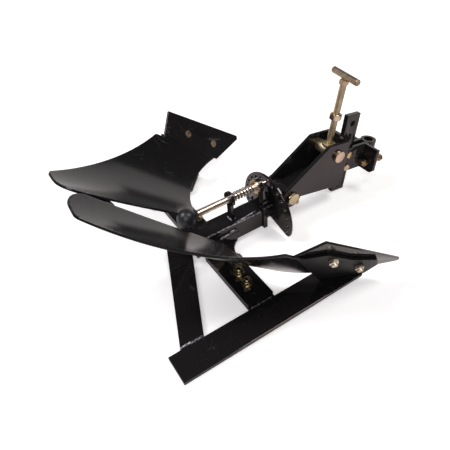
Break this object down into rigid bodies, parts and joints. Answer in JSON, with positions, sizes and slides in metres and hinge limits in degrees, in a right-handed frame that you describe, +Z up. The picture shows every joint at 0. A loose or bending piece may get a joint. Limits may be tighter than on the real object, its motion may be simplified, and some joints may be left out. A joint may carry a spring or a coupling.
{
  "type": "reversible mouldboard plough",
  "caption": "Turn-over mouldboard plough for a walking tractor: mirrored shares and mouldboards on a square beam, with a spring index lock, depth screw and pin hitch.",
  "frame": {"origin": "centre of the hitch pin bush", "axes": "+X forward to the tractor, +Y left, +Z up; the plough lies half turned, on the right landside's heel, the left landside's stub and the hitch bar's foot"},
  "size_m": [0.7528, 0.5864, 0.3139],
  "materials": {
    "black_paint": "gloss",
    "zinc_plate": "satin",
    "knob_plastic": "satin",
    "spring_steel": "satin"
  },
  "bodies": {
    "hitch": {"side_plate_left": "black_paint", "side_plate_right": "black_paint", "front_plate": "black_paint", "hitch_bar": "black_paint", "coupler_left": "black_paint", "coupler_right": "black_paint", "pin_bush": "black_paint", "coupler_bolts": "zinc_plate", "adjuster_bolts": "zinc_plate", "pitch_bolt": "zinc_plate", "trunnion": "zinc_plate"},
    "screw": {"depth_screw": "zinc_plate", "lock_nut": "zinc_plate"},
    "head": {"head_arm": "black_paint", "index_plate": "black_paint"},
    "turnover": {"beam_tube": "black_paint", "end_plate": "black_paint", "spindle": "black_paint", "spindle_nut": "zinc_plate", "plunger_lug": "black_paint", "plunger_rod": "zinc_plate", "plunger_washer": "zinc_plate", "plunger_spring": "spring_steel", "ball_knob": "knob_plastic", "leg_bracket_left": "black_paint", "leg_bracket_right": "black_paint", "leg_left": "black_paint", "leg_right": "black_paint", "leg_bolts_left": "zinc_plate", "leg_bolts_right": "zinc_plate", "brace_right": "black_paint", "landside_left": "black_paint", "landside_right": "black_paint", "frog_left": "black_paint", "frog_right": "black_paint", "share_left": "black_paint", "share_right": "black_paint", "share_bolts_left": "zinc_plate", "share_bolts_right": "zinc_plate", "mouldboard_left": "black_paint", "mouldboard_right": "black_paint", "tail_strap": "black_paint"}
  },
  "joints": [
    {"name": "depth_pitch", "type": "hinge", "parent": "hitch", "child": "head", "pos_m": [-0.26435, 0, -0.00777], "axis": [0, 1, 0], "range_deg": [-8, 8]},
    {"name": "screw_travel", "type": "slide", "parent": "hitch", "child": "screw", "axis": [0.1537, 0, 0.9881], "range_m": [-0.0185, 0.0185]},
    {"name": "turn_over", "type": "hinge", "parent": "head", "child": "turnover", "pos_m": [-0.28633, 0, -0.0395], "axis": [0.9995, 0, 0.0324], "range_deg": [-90, 90]}
  ],
  "couplings": [
    {"joint": "screw_travel", "follows": "depth_pitch", "m_per_rad": -0.131}
  ]
}
